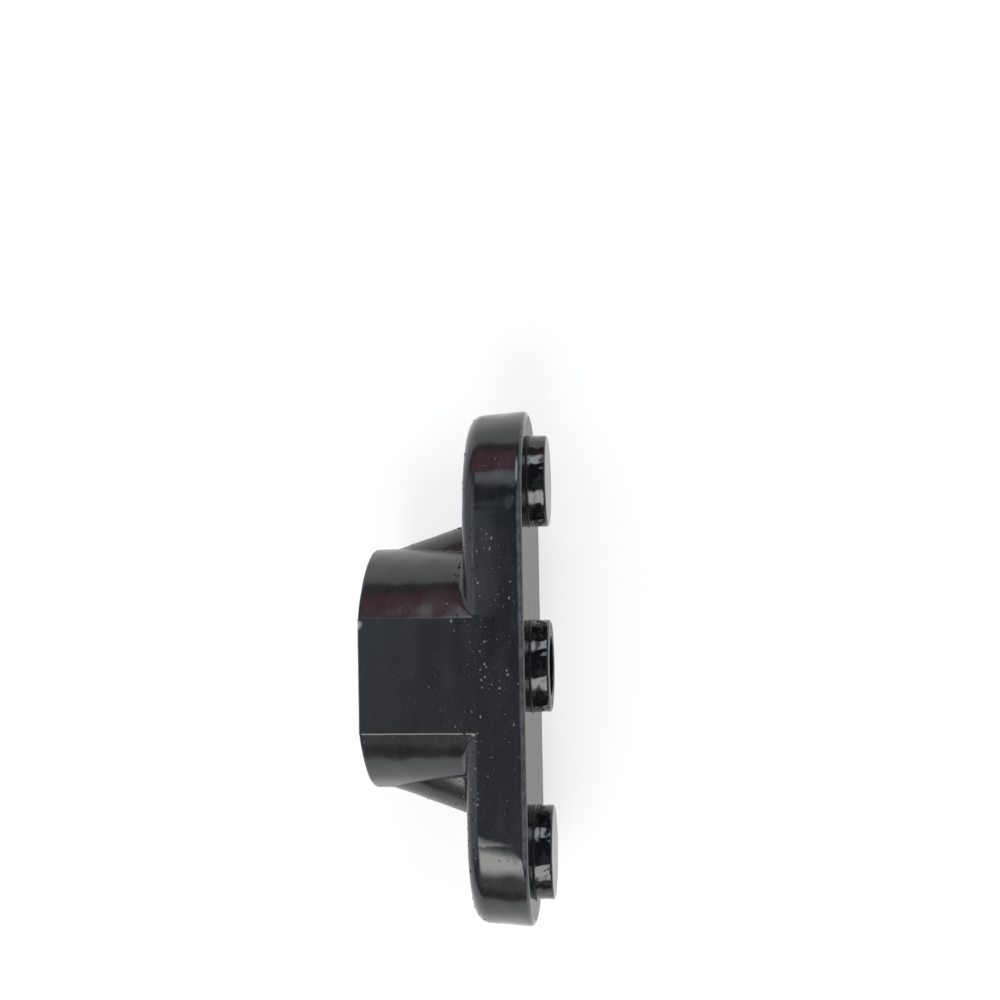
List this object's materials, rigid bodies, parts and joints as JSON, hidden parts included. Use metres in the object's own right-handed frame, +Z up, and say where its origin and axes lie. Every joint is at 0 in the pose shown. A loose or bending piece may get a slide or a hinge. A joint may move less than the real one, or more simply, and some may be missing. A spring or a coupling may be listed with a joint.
{
  "type": "mower blade adapter",
  "caption": "Cast mower blade adapter: keyed hub for the engine shaft behind an obround flange, with drive pins, a centre spigot and a blade bolt hole.",
  "frame": {"origin": "on the bore axis, in the plane of the blade seat", "axes": "+X along the bore axis from the hub towards the pins, +Y along the flange, +Z up from the flat side it lies on"},
  "size_m": [0.0285, 0.0828, 0.0344],
  "materials": {
    "black_enamel": "gloss black enamel over an as-cast surface"
  },
  "bodies": {
    "root": {"blade_adapter": "black_enamel"}
  },
  "joints": []
}
